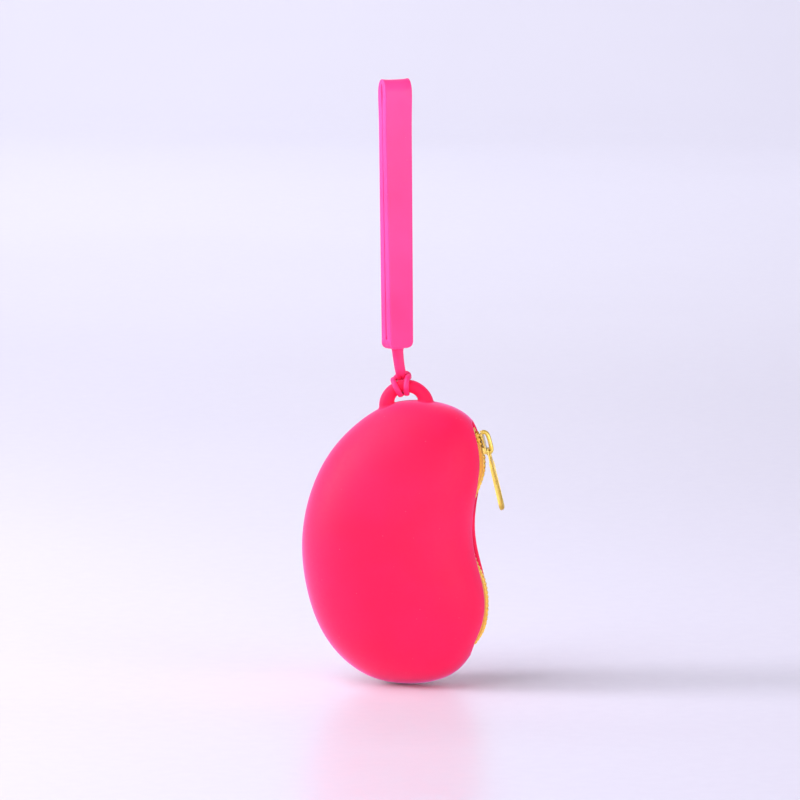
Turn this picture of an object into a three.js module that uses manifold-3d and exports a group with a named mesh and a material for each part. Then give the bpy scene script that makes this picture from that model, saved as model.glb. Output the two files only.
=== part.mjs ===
// Silicone storage pouch: hollow bean shell with a zip slit, wrist strap hitched on a lug.
// Millimetres. +Z up, +X towards the zip, +Y away from the viewer.
// Origin: the point inside the top of the wrist loop that the whole thing hangs from.
import * as THREE from 'three';
import { mergeVertices } from 'three/addons/utils/BufferGeometryUtils.js';
import Module from 'manifold-3d';

const wasm = await Module();
wasm.setup();

// ---------------------------------------------------------------- driving dimensions
const BODY_MID_Z = -191.23; // middle height of the bean
const BODY_HALF_H = 59.85; // half its height
const BODY_HALF_D = 27.0; // half its depth
const WALL = 2.2; // silicone wall
const PART_GAP = 0.3; // gap where the moulding's three solids meet
const SLIT_HALF = 5.4; // half the slit's width
const SLIT_CORNER = 2.0; // corner radius of the slit's ends

// outline of the bean, X at 24 equal steps of the angle that sets the height (0 = top)
const OUTLINE_X = [
  9.24, 22.2, 32.2, 36.25, 36.8, 34.4, 34.2, 38.15, 38.5, 35.1, 28.14, 19.32,
  5.04, -8.4, -18.9, -28.06, -34.1, -37.8, -39.06, -36.62, -31.5, -23.31, -13.02, -2.94,
];
const OUTLINE_HARMONICS = 8;

const LUG_X = 4.83; // centre of the half-ring lug
const LUG_Z = -134.02;
const LUG_R = 8.6; // radius of its middle line
const LUG_BAR_R = 2.65; // radius of its round bar

// line of the outer face of the zip teeth, in X and Z, from the top down
const CHAIN_LINE = [
  [29.4, -137.3], [31.6, -139.4], [33.7, -142.0], [35.55, -145.66], [36.6, -149.23],
  [37.45, -152.8], [37.88, -157.0], [37.63, -161.2], [36.5, -165.4], [34.88, -169.6],
  [33.25, -174.0], [32.2, -178.84], [31.9, -184.3], [32.25, -189.76], [33.5, -194.8],
  [35.4, -199.84], [37.36, -204.88], [38.64, -209.92], [39.19, -214.96], [39.14, -220.0],
  [38.47, -225.04], [36.96, -230.08], [34.65, -234.7], [31.71, -238.9], [29.19, -241.84],
];
const TOOTH_HALF_T = 1.0; // half the teeth's thickness
const TOOTH_PITCH = 1.9; // along one row
const TOOTH_HEAD = 0.6; // how far a head passes the middle line
const TOOTH_TAIL = 2.1; // how far the other end is from it
const ROW_SPLIT = 1.45; // each row steps aside for the slider's neck
const TAPE_T = 0.5;
const TAPE_EDGE = 2.6; // tape starts here, measured from the middle line
const TAPE_OUTER = 10.5; // and ends here, under the lip
const STOP_L = 2.0;

const SLIDER_LEN = 9.6;
const SLIDER_WIDE = 3.9; // half widths
const SLIDER_NARROW = 3.0;
const SLIDER_GAP = 1.4; // half the height of its channel
const SLIDER_PLATE = 0.75;
const BAIL_INNER = 3.45; // underside of the bail above the chain's middle
const BAIL_T = 1.0;
const BAIL_HALF_W = 1.0;
const PULL_AXIS_A = 2.8; // pull's hinge line, along the slider and above the chain's middle
const PULL_AXIS_N = 2.8;
const PULL_LEN = 26.4;
const PULL_HALF_W = 2.6;
const PULL_T = 1.8;
const PULL_BAR = 0.42; // half the thickness of its eye end

const STRAP_W = 12.4; // band width
const STRAP_T = 2.75; // band thickness
const STRAP_TOP_HALF = 2.6; // half the distance between the legs' middle lines, top
const STRAP_LOW_HALF = 1.65; // and at the block
const STRAP_CLOSE = 12.0; // the legs draw together over about this length below the fold
const STRAP_BOTTOM_Z = -110.0;
const STRAP_BLOCK_H = 5.0;
const STRAP_BLOCK_T = 6.05;
const STRAP_LOW_X = 1.05; // the strap leans a little
const STRAP_YAW_TOP = 32; // degrees, the band is slightly twisted
const STRAP_YAW_LOW = 48;

const CORD_R = 1.0; // tether cord
const CORD_SIDE = 1.1; // strands lie this far to each side
const HITCH_ANGLE = 12; // degrees, hitch sits left of the lug's top
const HITCH_R = LUG_BAR_R + 0.65 + CORD_R; // wraps go round the bar at this radius

// ---------------------------------------------------------------- colours
const SILICONE = new THREE.Color(0xfb3364);
const STRAP_PINK = new THREE.Color(0xfa5296);
const ZIP_TAPE = new THREE.Color(0xf0a24c);
const ZIP_TEETH = new THREE.Color(0xf2b45a);
const ZIP_METAL = new THREE.Color(0xeed79c);

const material = (color, roughness, metalness) =>
  new THREE.MeshStandardMaterial({ color, roughness, metalness });

// ---------------------------------------------------------------- helpers
const rad = (d) => (d * Math.PI) / 180;
const smooth = (t) => {
  const u = Math.min(1, Math.max(0, t));
  return u * u * (3 - 2 * u);
};

// closed solid of a geometry, for joining and cutting
function solid(geometry) {
  const g = geometry.clone();
  g.deleteAttribute('normal');
  g.deleteAttribute('uv');
  const m = mergeVertices(g, 1e-4);
  const vertProperties = new Float32Array(m.attributes.position.array);
  const triVerts = new Uint32Array(m.index.array);
  return new wasm.Manifold(new wasm.Mesh({ numProp: 3, vertProperties, triVerts }));
}

function fromSolid(manifold) {
  const mesh = manifold.getMesh();
  const g = new THREE.BufferGeometry();
  const p = new Float32Array((mesh.vertProperties.length / mesh.numProp) * 3);
  for (let i = 0; i < p.length / 3; i++) {
    for (let k = 0; k < 3; k++) p[3 * i + k] = mesh.vertProperties[i * mesh.numProp + k];
  }
  g.setAttribute('position', new THREE.BufferAttribute(p, 3));
  g.setIndex(new THREE.BufferAttribute(new Uint32Array(mesh.triVerts), 1));
  g.computeVertexNormals();
  return g;
}

// move every vertex of a geometry with a function of (x, y, z)
function mapped(geometry, fn, flip = false) {
  const g = geometry.clone();
  const p = g.attributes.position;
  for (let i = 0; i < p.count; i++) {
    const [x, y, z] = fn(p.getX(i), p.getY(i), p.getZ(i));
    p.setXYZ(i, x, y, z);
  }
  if (flip) {
    const idx = g.index.array;
    for (let i = 0; i < idx.length; i += 3) {
      const t = idx[i];
      idx[i] = idx[i + 1];
      idx[i + 1] = t;
    }
  }
  g.computeVertexNormals();
  return g;
}

// ---------------------------------------------------------------- the bean
const N = OUTLINE_X.length;
const COS = [];
const SIN = [];
for (let k = 0; k <= OUTLINE_HARMONICS; k++) {
  let c = 0;
  let s = 0;
  for (let i = 0; i < N; i++) {
    const a = (2 * Math.PI * i * k) / N;
    c += OUTLINE_X[i] * Math.cos(a);
    s += OUTLINE_X[i] * Math.sin(a);
  }
  COS.push((k ? 2 : 1) * (c / N));
  SIN.push((k ? 2 : 1) * (s / N));
}
function outlineX(phi) {
  let x = 0;
  for (let k = 0; k <= OUTLINE_HARMONICS; k++) x += COS[k] * Math.cos(k * phi) + SIN[k] * Math.sin(k * phi);
  return x;
}
// point on the bean, shrunk inwards by t; phi from the top, theta from +X
function beanPoint(phi, theta, t) {
  const right = outlineX(phi);
  const left = outlineX(2 * Math.PI - phi);
  const mid = (right + left) / 2;
  const s = Math.sin(phi);
  const half = Math.max(0, (right - left) / 2 - t * s);
  const deep = Math.max(0, BODY_HALF_D * s * (1 + 0.1 * Math.cos(phi) ** 2) - t * s);
  const c = Math.cos(theta);
  const d = Math.sin(theta);
  return [
    mid + half * c * (1 + 0.05 * d * d),
    deep * d * (1 + 0.05 * c * c),
    BODY_MID_Z + (BODY_HALF_H - t) * Math.cos(phi),
  ];
}
function bean(t, around, down) {
  const g = new THREE.SphereGeometry(1, around, down);
  g.rotateX(Math.PI / 2);
  return mapped(g, (x, y, z) => {
    const phi = Math.acos(Math.min(1, Math.max(-1, z)));
    const theta = Math.abs(z) > 0.999999 ? 0 : Math.atan2(y, x);
    return beanPoint(phi, theta, t);
  });
}
// X of the inner wall at a height and a distance from the middle plane
function innerX(z, y) {
  const phi = Math.acos(Math.min(1, Math.max(-1, (z - BODY_MID_Z) / (BODY_HALF_H - WALL))));
  let lo = 0;
  let hi = Math.PI / 2;
  for (let i = 0; i < 40; i++) {
    const m = (lo + hi) / 2;
    if (beanPoint(phi, m, WALL)[1] < Math.abs(y)) lo = m;
    else hi = m;
  }
  return beanPoint(phi, lo, WALL)[0];
}

// ---------------------------------------------------------------- the zip's line
const chainCurve = new THREE.CatmullRomCurve3(
  CHAIN_LINE.map(([x, z]) => new THREE.Vector3(x, 0, z)), false, 'centripetal',
);
chainCurve.arcLengthDivisions = 2000;
const CHAIN_LEN = chainCurve.getLength();
// middle of the teeth at a length along the line, tangent down the zip, normal outwards
function chainFrame(s) {
  const u = Math.min(1, Math.max(0, s / CHAIN_LEN));
  const p = chainCurve.getPointAt(u);
  const t = chainCurve.getTangentAt(u);
  const over = s < 0 ? s : s > CHAIN_LEN ? s - CHAIN_LEN : 0;
  p.addScaledVector(t, over);
  const n = new THREE.Vector3(-t.z, 0, t.x);
  p.addScaledVector(n, -TOOTH_HALF_T);
  return { p, t, n };
}
function chainPoint(s, y, n) {
  const f = chainFrame(s);
  return [f.p.x + f.n.x * n, y, f.p.z + f.n.z * n];
}
// length along the line where it reaches a height
function chainAt(z) {
  let lo = 0;
  let hi = CHAIN_LEN;
  for (let i = 0; i < 50; i++) {
    const m = (lo + hi) / 2;
    if (chainCurve.getPointAt(m / CHAIN_LEN).z > z) lo = m;
    else hi = m;
  }
  return lo;
}
const SLIDER_S = chainAt(-149.1);
const SLIT_TOP = 0.6;
const SLIT_LOW = CHAIN_LEN - 0.4;
const TOP_STOP_S = SLIDER_S - SLIDER_LEN / 2 - 0.7 - STOP_L / 2;
const LOW_STOP_S = CHAIN_LEN - 6.0;
const ROW_TOP = TOP_STOP_S + STOP_L / 2 + 0.3;
const ROW_LOW = LOW_STOP_S - STOP_L / 2 - 0.3;
// sideways step of each row at the slider's neck
const split = (s) => ROW_SPLIT * smooth((SLIDER_S + 1.4 - s) / 3.4);

// ---------------------------------------------------------------- shell
// the moulding is kept as two halves that meet at the middle plane, and its lug
function makeShell() {
  const outer = solid(bean(0, 36, 26));
  const inner = solid(bean(WALL, 36, 26));
  // slit along the zip
  const steps = 36;
  const len = SLIT_LOW - SLIT_TOP;
  const cutter = mapped(new THREE.BoxGeometry(1, 1, 1, 1, 1, steps), (x, y, z) => {
    const s = SLIT_TOP + (0.5 - z) * len;
    const d = Math.min(s - SLIT_TOP, SLIT_LOW - s);
    const w = d >= SLIT_CORNER ? SLIT_HALF
      : SLIT_HALF - SLIT_CORNER + Math.sqrt(Math.max(0, SLIT_CORNER ** 2 - (SLIT_CORNER - d) ** 2));
    return chainPoint(s, y * 2 * w, x * 14 - 1.0);
  });
  const body = outer.subtract(inner).subtract(solid(cutter));
  const halves = [-1, 1].map((side) => {
    const room = new THREE.BoxGeometry(200, 100, 300);
    room.translate(0, side * (50 + PART_GAP / 2), BODY_MID_Z);
    return fromSolid(body.intersect(solid(room)));
  });
  // half ring that stands on the dome
  const ring = new THREE.TorusGeometry(LUG_R, LUG_BAR_R, 12, 32);
  ring.rotateX(Math.PI / 2);
  ring.translate(LUG_X, 0, LUG_Z);
  const lug = fromSolid(solid(ring).subtract(solid(bean(-PART_GAP, 36, 26))));
  return { near: halves[0], far: halves[1], lug };
}

// ---------------------------------------------------------------- tapes
// depth of the inner wall under the teeth's middle, at a distance from the middle plane
function wallDepth(s, q) {
  let lo = -14;
  let hi = 3;
  for (let i = 0; i < 40; i++) {
    const m = (lo + hi) / 2;
    const [x, , z] = chainPoint(s, 0, m);
    if (x < innerX(z, q)) lo = m;
    else hi = m;
  }
  return lo;
}
function makeTape(side) {
  const s0 = SLIT_TOP + 2.4;
  const s1 = SLIT_LOW - 2.6;
  return mapped(new THREE.BoxGeometry(1, 1, 1, 1, 6, 30), (x, y, z) => {
    const s = s0 + (0.5 - z) * (s1 - s0);
    const edge = TAPE_EDGE + split(s);
    // flat beside the teeth, down the slit's side, then under the lip
    const flat = Math.max(3.5, edge + 0.15);
    const fall = 4.8 - flat;
    const q = [edge, flat, flat + 0.35 * fall, flat + 0.65 * fall, 4.8, 7.6, TAPE_OUTER][Math.round((y + 0.5) * 6)];
    const under = wallDepth(s, Math.max(q, 4.8)) - 1.0;
    const k = smooth((q - flat) / fall);
    return chainPoint(s, side * q, under * k + x * TAPE_T);
  });
}

// ---------------------------------------------------------------- teeth
function makeRow(side) {
  const count = Math.floor((ROW_LOW - ROW_TOP - 1.2) / TOOTH_PITCH);
  const steps = 50;
  // corded edge that carries the teeth
  const bead = mapped(new THREE.BoxGeometry(1, 1, 1, 1, 1, steps), (x, y, z) => {
    const s = ROW_TOP + (0.5 - z) * (ROW_LOW - ROW_TOP);
    return chainPoint(s, side * (1.45 + split(s) + y * 0.7), x * 1.1);
  });
  let body = solid(side < 0 ? mapped(bead, (x, y, z) => [x, y, z], true) : bead);
  const shape = new THREE.Shape();
  // one tooth seen from outside: clasp end, then the head
  shape.moveTo(-TOOTH_TAIL, -0.45);
  shape.lineTo(-0.8, -0.45);
  shape.lineTo(TOOTH_HEAD, -0.25);
  shape.lineTo(TOOTH_HEAD, 0.25);
  shape.lineTo(-0.8, 0.45);
  shape.lineTo(-TOOTH_TAIL, 0.45);
  shape.closePath();
  const tooth = new THREE.ExtrudeGeometry(shape, { depth: 2 * TOOTH_HALF_T, bevelEnabled: false });
  tooth.translate(0, 0, -TOOTH_HALF_T);
  const teeth = [];
  for (let i = 0; i < count; i++) {
    const s = ROW_TOP + 0.7 + (i + (side < 0 ? 0.25 : 0.75)) * TOOTH_PITCH;
    const shift = split(s);
    const f = chainFrame(s);
    const g = mapped(tooth, (x, y, z) => {
      const across = side * (shift - x);
      return [
        f.p.x + f.t.x * y + f.n.x * z,
        across,
        f.p.z + f.t.z * y + f.n.z * z,
      ];
    });
    teeth.push(orient(g));
  }
  for (const t of teeth) body = body.add(t);
  return fromSolid(body);
}
// closed solid with its faces turned outwards, whichever way the mapping left them
function orient(geometry) {
  const g = geometry.clone();
  g.deleteAttribute('normal');
  g.deleteAttribute('uv');
  const m = mergeVertices(g, 1e-4);
  const p = m.attributes.position;
  const idx = m.index.array;
  let vol = 0;
  const a = new THREE.Vector3();
  const b = new THREE.Vector3();
  const c = new THREE.Vector3();
  for (let i = 0; i < idx.length; i += 3) {
    a.fromBufferAttribute(p, idx[i]);
    b.fromBufferAttribute(p, idx[i + 1]);
    c.fromBufferAttribute(p, idx[i + 2]);
    vol += a.dot(b.cross(c));
  }
  const tri = new Uint32Array(idx);
  if (vol < 0) {
    for (let i = 0; i < tri.length; i += 3) {
      const t = tri[i];
      tri[i] = tri[i + 1];
      tri[i + 1] = t;
    }
  }
  return new wasm.Manifold(new wasm.Mesh({
    numProp: 3, vertProperties: new Float32Array(p.array), triVerts: tri,
  }));
}
const turned = (geometry) => fromSolid(orient(geometry));

// ---------------------------------------------------------------- stops
function makeStop(s, y0, y1, halfT) {
  const g = new THREE.BoxGeometry(1, 1, 1, 2, 2, 4);
  return turned(mapped(g, (x, y, z) => {
    const round = 1 - 0.22 * (2 * Math.abs(x)) * (2 * Math.abs(z)) ** 2;
    return chainPoint(s - z * STOP_L, (y0 + y1) / 2 + y * (y1 - y0), x * 2 * halfT * round);
  }));
}

// ---------------------------------------------------------------- slider and pull
// local axes of the slider: a down the zip, y across, n outwards
const SF = chainFrame(SLIDER_S);
const sliderPoint = (a, y, n) => [
  SF.p.x + SF.t.x * a + SF.n.x * n, y, SF.p.z + SF.t.z * a + SF.n.z * n,
];
// solid from an outline in (a, y), between two levels n
function plateSolid(outline, n0, n1) {
  const shape = new THREE.Shape(outline.map(([a, y]) => new THREE.Vector2(a, y)));
  const g = new THREE.ExtrudeGeometry(shape, { depth: n1 - n0, bevelEnabled: false });
  return orient(mapped(g, (x, y, z) => sliderPoint(x, y, n0 + z)));
}
// solid from an outline in (a, n), between two levels y
function sideSolid(outline, y0, y1, holes = []) {
  const shape = new THREE.Shape(outline.map(([a, n]) => new THREE.Vector2(a, n)));
  for (const h of holes) shape.holes.push(new THREE.Path(h.map(([a, n]) => new THREE.Vector2(a, n))));
  const g = new THREE.ExtrudeGeometry(shape, { depth: y1 - y0, bevelEnabled: false });
  return orient(mapped(g, (x, y, z) => sliderPoint(x, y0 + z, y)));
}
function makeSlider() {
  const h = SLIDER_LEN / 2;
  const half = [
    [-h, 1.2], [-h + 0.25, 2.3], [-h + 0.9, 3.4], [-h + 1.9, SLIDER_WIDE], [-1.6, SLIDER_WIDE],
    [0.4, SLIDER_NARROW + 0.25], [1.6, SLIDER_NARROW], [h - 0.6, SLIDER_NARROW], [h, SLIDER_NARROW - 0.6],
  ];
  const outline = [...half, ...half.map(([a, y]) => [a, -y]).reverse()];
  const top = SLIDER_GAP + SLIDER_PLATE;
  let body = plateSolid(outline, SLIDER_GAP, top);
  body = body.add(plateSolid(outline, -top, -SLIDER_GAP));
  // neck post between the plates
  const post = [[-h + 0.5, 0], [-h + 0.9, 0.5], [-2.6, 0.5], [-1.9, 0], [-2.6, -0.5], [-h + 0.9, -0.5]];
  body = body.add(plateSolid(post, -SLIDER_GAP - 0.3, SLIDER_GAP + 0.3));
  // flanges that hold the closed rows in
  for (const side of [-1, 1]) {
    const fl = [[1.7, 2.45], [1.7, 2.95], [h - 0.3, 2.95], [h - 0.3, 2.45]].map(([a, y]) => [a, side * y]);
    body = body.add(plateSolid(fl, 0.55, SLIDER_GAP + 0.3));
    body = body.add(plateSolid(fl, -SLIDER_GAP - 0.3, -0.55));
  }
  // bail: an arch from one end of the outer plate to the other
  const out = BAIL_INNER + BAIL_T;
  const arch = [
    [-h + 0.1, top - 0.3], [-h + 0.1, 3.1], [-h + 0.5, out - 0.5], [-h + 1.3, out], [h - 1.5, out],
    [h - 0.5, out - 0.45], [h - 0.1, 3.2], [h - 0.1, top - 0.3],
  ];
  const eye = [
    [-h + 1.2, top], [-h + 1.2, BAIL_INNER - 0.25], [-h + 1.45, BAIL_INNER], [h - 1.4, BAIL_INNER],
    [h - 1.15, BAIL_INNER - 0.25], [h - 1.15, top],
  ];
  const block = sideSolid(arch, -BAIL_HALF_W, BAIL_HALF_W);
  body = body.add(block.subtract(sideSolid(eye, -BAIL_HALF_W - 1, BAIL_HALF_W + 1)));
  return fromSolid(body);
}
function makePull() {
  // flat shape seen from outside: eye end round the bail's lower leg, then a tapering tab
  const a0 = PULL_AXIS_A - PULL_BAR;
  const a1 = PULL_AXIS_A + PULL_LEN;
  const w = PULL_HALF_W;
  const shape = new THREE.Shape();
  shape.moveTo(a0 + 0.5, -2.4);
  shape.lineTo(a0 + 9.0, -w);
  shape.lineTo(a1 - 2.2, -w - 0.25);
  shape.absarc(a1 - 2.85, 0, w + 0.25, -Math.PI / 2.4, Math.PI / 2.4, false);
  shape.lineTo(a1 - 2.2, w + 0.25);
  shape.lineTo(a0 + 9.0, w);
  shape.lineTo(a0 + 0.5, 2.4);
  shape.lineTo(a0, 1.9);
  shape.lineTo(a0, -1.9);
  shape.closePath();
  const h0 = a0 + 2 * PULL_BAR;
  const hole = new THREE.Path();
  hole.moveTo(h0, -1.4);
  hole.lineTo(h0, 1.4);
  hole.lineTo(h0 + 4.0, 1.4);
  hole.lineTo(h0 + 4.6, 0.8);
  hole.lineTo(h0 + 4.6, -0.8);
  hole.lineTo(h0 + 4.0, -1.4);
  hole.closePath();
  shape.holes.push(hole);
  const g = new THREE.ExtrudeGeometry(shape, { depth: PULL_T, bevelEnabled: false, curveSegments: 10 });
  const flat = orient(mapped(g, (x, y, z) => sliderPoint(x, y, PULL_AXIS_N - PULL_T / 2 + z)));
  // the eye end is thinned to the bail's room, on both faces
  let tab = flat;
  for (const side of [-1, 1]) {
    const wedge = [
      [a0 - 2, PULL_AXIS_N + side * 3], [a0 - 2, PULL_AXIS_N + side * PULL_BAR], [h0 + 4.5, PULL_AXIS_N + side * PULL_BAR],
      [h0 + 6.4, PULL_AXIS_N + side * (PULL_T / 2 + 0.02)], [h0 + 6.4, PULL_AXIS_N + side * 3],
    ];
    tab = tab.subtract(sideSolid(wedge, -6, 6));
  }
  return fromSolid(tab);
}

// ---------------------------------------------------------------- wrist strap
const strapYaw = (z) => rad(STRAP_YAW_TOP + (STRAP_YAW_LOW - STRAP_YAW_TOP) * Math.min(1, Math.max(0, z / STRAP_BOTTOM_Z)));
function strapPoint(u, v, z) {
  const y = strapYaw(z);
  const lean = STRAP_LOW_X * (z / STRAP_BOTTOM_Z);
  return [lean + u * Math.cos(y) - v * Math.sin(y), u * Math.sin(y) + v * Math.cos(y), z];
}
function makeStrap() {
  const zTop = -(STRAP_TOP_HALF - STRAP_T / 2);
  const zLow = STRAP_BOTTOM_Z + STRAP_BLOCK_H - 1.5;
  const pts = [];
  const legs = 14;
  // the loop is a long drop: round at the fold, nearly closed further down
  const legAt = (t) => {
    const z = zLow + (zTop - zLow) * (1 - (1 - t) ** 1.8);
    return [STRAP_LOW_HALF + (STRAP_TOP_HALF - STRAP_LOW_HALF) * Math.exp((z - zTop) / STRAP_CLOSE), z];
  };
  for (let i = 0; i <= legs; i++) {
    const [v, z] = legAt(i / legs);
    pts.push([-v, z]);
  }
  const turns = 10;
  for (let i = 1; i < turns; i++) {
    const a = Math.PI - (Math.PI * i) / turns;
    pts.push([STRAP_TOP_HALF * Math.cos(a), zTop + STRAP_TOP_HALF * Math.sin(a)]);
  }
  for (let i = legs; i >= 0; i--) pts.push(legAt(i / legs));
  const n = pts.length - 1;
  const normals = pts.map((p, i) => {
    const a = pts[Math.max(0, i - 1)];
    const b = pts[Math.min(n, i + 1)];
    const l = Math.hypot(b[0] - a[0], b[1] - a[1]);
    return [-(b[1] - a[1]) / l, (b[0] - a[0]) / l];
  });
  // band with eased edges, bent along the loop
  const e = 0.45;
  const sec = new THREE.Shape();
  const hw = STRAP_W / 2;
  const ht = STRAP_T / 2;
  sec.moveTo(-hw + e, -ht);
  sec.lineTo(hw - e, -ht);
  sec.lineTo(hw, -ht + e);
  sec.lineTo(hw, ht - e);
  sec.lineTo(hw - e, ht);
  sec.lineTo(-hw + e, ht);
  sec.lineTo(-hw, ht - e);
  sec.lineTo(-hw, -ht + e);
  sec.closePath();
  const straight = new THREE.ExtrudeGeometry(sec, { depth: n, steps: n, bevelEnabled: false });
  const band = orient(mapped(straight, (x, y, z) => {
    const i = Math.round(z);
    return strapPoint(x, pts[i][0] + normals[i][0] * y, pts[i][1] + normals[i][1] * y);
  }));
  // end block with round lower corners
  const r = 2.0;
  const b = new THREE.Shape();
  const z0 = STRAP_BOTTOM_Z;
  const z1 = STRAP_BOTTOM_Z + STRAP_BLOCK_H;
  b.moveTo(-hw + r, z0);
  b.lineTo(hw - r, z0);
  b.absarc(hw - r, z0 + r, r, -Math.PI / 2, 0, false);
  b.lineTo(hw, z1);
  b.lineTo(-hw, z1);
  b.lineTo(-hw, z0 + r);
  b.absarc(-hw + r, z0 + r, r, Math.PI, 1.5 * Math.PI, false);
  const slab = new THREE.ExtrudeGeometry(b, {
    depth: STRAP_BLOCK_T - 0.8, bevelEnabled: true, bevelThickness: 0.4, bevelSize: 0.4, bevelOffset: -0.4, bevelSegments: 1, curveSegments: 5,
  });
  const block = orient(mapped(slab, (x, y, z) => strapPoint(x, z - (STRAP_BLOCK_T - 0.8) / 2, y)));
  return fromSolid(band.add(block));
}

// ---------------------------------------------------------------- tether cord with a lark's head
function makeTether() {
  const h = rad(HITCH_ANGLE);
  const cx = LUG_X - LUG_R * Math.sin(h);
  const cz = LUG_Z + LUG_R * Math.cos(h);
  // along the bar, and away from the lug's centre
  const e1 = [Math.cos(h), Math.sin(h)];
  const e3 = [-Math.sin(h), Math.cos(h)];
  const at = (p, y, q) => new THREE.Vector3(cx + e1[0] * p + e3[0] * q, y, cz + e1[1] * p + e3[1] * q);
  const R = HITCH_R;
  // strand under the block, down the bar's back, under it, up the front and over the top, to the bight behind the strands
  const zTop = STRAP_BOTTOM_Z - 0.3;
  const run = (side) => {
    const pts = [];
    const up = (x, y, z) => pts.push(new THREE.Vector3(x + side * CORD_SIDE, y, z));
    up(STRAP_LOW_X, 0, zTop);
    up(STRAP_LOW_X + 0.35, 0, zTop - 3);
    up(STRAP_LOW_X + 0.85, 0.05, cz + 8.4);
    up(STRAP_LOW_X + 1.1, 0.45, cz + 6.5);
    up(STRAP_LOW_X + 1.3, 1.35, cz + 4.9);
    const turns = [
      [48, 1.12, 0.32], [20, 1.15, 0.22], [-8, 1.2, 0.1], [-38, 1.25, 0], [-68, 1.32, 0], [-98, 1.42, 0],
      [-128, 1.6, 0], [-158, 1.88, 0], [-188, 2.25, 0], [-216, 2.62, 0.05], [-242, 2.98, 0.12], [-268, 3.24, 0.2],
      [-292, 3.34, 0.28],
    ];
    for (const [deg, p, shift] of turns) {
      const a = rad(deg);
      pts.push(at(side * p + shift, R * Math.cos(a), R * Math.sin(a)));
    }
    pts.push(at(side * 3.0 + 0.32, 2.6, 4.8));
    pts.push(at(side * 2.0 + 0.34, 3.55, 5.55));
    pts.push(at(side * 0.95 + 0.35, 3.85, 5.7));
    return pts;
  };
  const half = run(-1);
  const other = run(1).reverse();
  const curve = new THREE.CatmullRomCurve3([...half, at(0.35, 3.9, 5.72), ...other], false, 'centripetal');
  const section = new THREE.Shape();
  const sides = 8;
  for (let i = 0; i < sides; i++) {
    const a = (2 * Math.PI * i) / sides;
    const x = CORD_R * Math.cos(a);
    const y = CORD_R * Math.sin(a);
    if (i) section.lineTo(x, y);
    else section.moveTo(x, y);
  }
  section.closePath();
  const tube = new THREE.ExtrudeGeometry(section, { steps: 96, extrudePath: curve, bevelEnabled: false });
  return turned(tube);
}

// ---------------------------------------------------------------- assembly
const group = new THREE.Group();
group.name = 'silicone_storage_pouch';
function part(name, geometry, mat) {
  const m = new THREE.Mesh(geometry, mat);
  m.name = name;
  group.add(m);
}
const shell = makeShell();
part('near_shell_half', shell.near, material(SILICONE, 0.55, 0));
part('far_shell_half', shell.far, material(SILICONE, 0.55, 0));
part('strap_lug', shell.lug, material(SILICONE, 0.55, 0));
part('near_zip_tape', turned(makeTape(-1)), material(ZIP_TAPE, 0.85, 0));
part('far_zip_tape', turned(makeTape(1)), material(ZIP_TAPE, 0.85, 0));
part('near_teeth_row', makeRow(-1), material(ZIP_TEETH, 0.4, 0));
part('far_teeth_row', makeRow(1), material(ZIP_TEETH, 0.4, 0));
const stopIn = ROW_SPLIT - 0.45;
part('near_top_stop', makeStop(TOP_STOP_S, -stopIn - 2.6, -stopIn, 1.25), material(ZIP_TEETH, 0.4, 0));
part('far_top_stop', makeStop(TOP_STOP_S, stopIn, stopIn + 2.6, 1.25), material(ZIP_TEETH, 0.4, 0));
part('bottom_stop', makeStop(LOW_STOP_S, -2.05, 2.05, 1.25), material(ZIP_TEETH, 0.4, 0));
part('slider_body', makeSlider(), material(ZIP_METAL, 0.35, 0.4));
part('pull_tab', makePull(), material(ZIP_METAL, 0.35, 0.4));
part('wrist_strap', makeStrap(), material(STRAP_PINK, 0.5, 0));
part('tether_loop', makeTether(), material(STRAP_PINK, 0.5, 0));

export default group;
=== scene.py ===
import math

import bmesh
import bpy
import numpy as np
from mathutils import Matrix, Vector


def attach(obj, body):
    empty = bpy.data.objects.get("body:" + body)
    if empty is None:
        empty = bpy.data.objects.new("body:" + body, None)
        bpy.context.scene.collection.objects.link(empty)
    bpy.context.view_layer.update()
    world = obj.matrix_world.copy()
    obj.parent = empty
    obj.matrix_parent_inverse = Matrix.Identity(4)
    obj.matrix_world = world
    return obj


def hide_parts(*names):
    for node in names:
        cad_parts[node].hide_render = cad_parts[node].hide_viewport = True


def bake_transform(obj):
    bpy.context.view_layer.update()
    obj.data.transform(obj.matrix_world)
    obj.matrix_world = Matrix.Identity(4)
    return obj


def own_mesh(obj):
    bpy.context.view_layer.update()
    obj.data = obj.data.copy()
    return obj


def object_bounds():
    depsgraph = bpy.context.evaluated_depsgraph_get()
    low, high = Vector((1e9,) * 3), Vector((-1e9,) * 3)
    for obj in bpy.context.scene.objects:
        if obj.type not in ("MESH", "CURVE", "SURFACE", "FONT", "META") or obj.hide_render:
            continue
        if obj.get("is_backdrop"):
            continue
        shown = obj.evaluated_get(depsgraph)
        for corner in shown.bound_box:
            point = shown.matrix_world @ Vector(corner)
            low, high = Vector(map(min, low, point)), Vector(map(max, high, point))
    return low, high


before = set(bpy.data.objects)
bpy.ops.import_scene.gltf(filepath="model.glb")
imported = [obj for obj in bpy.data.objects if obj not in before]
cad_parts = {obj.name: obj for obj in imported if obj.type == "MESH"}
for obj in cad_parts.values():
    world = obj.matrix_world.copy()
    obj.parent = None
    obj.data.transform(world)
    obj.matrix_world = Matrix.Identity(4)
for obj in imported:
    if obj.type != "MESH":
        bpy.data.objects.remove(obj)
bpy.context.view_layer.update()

# ---------------------------------------------------------------- numbers shared with the construction, in mm
MM = 0.001
BODY_MID_Z, BODY_HALF_H, BODY_HALF_D, WALL = -191.23, 59.85, 27.0, 2.2
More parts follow.
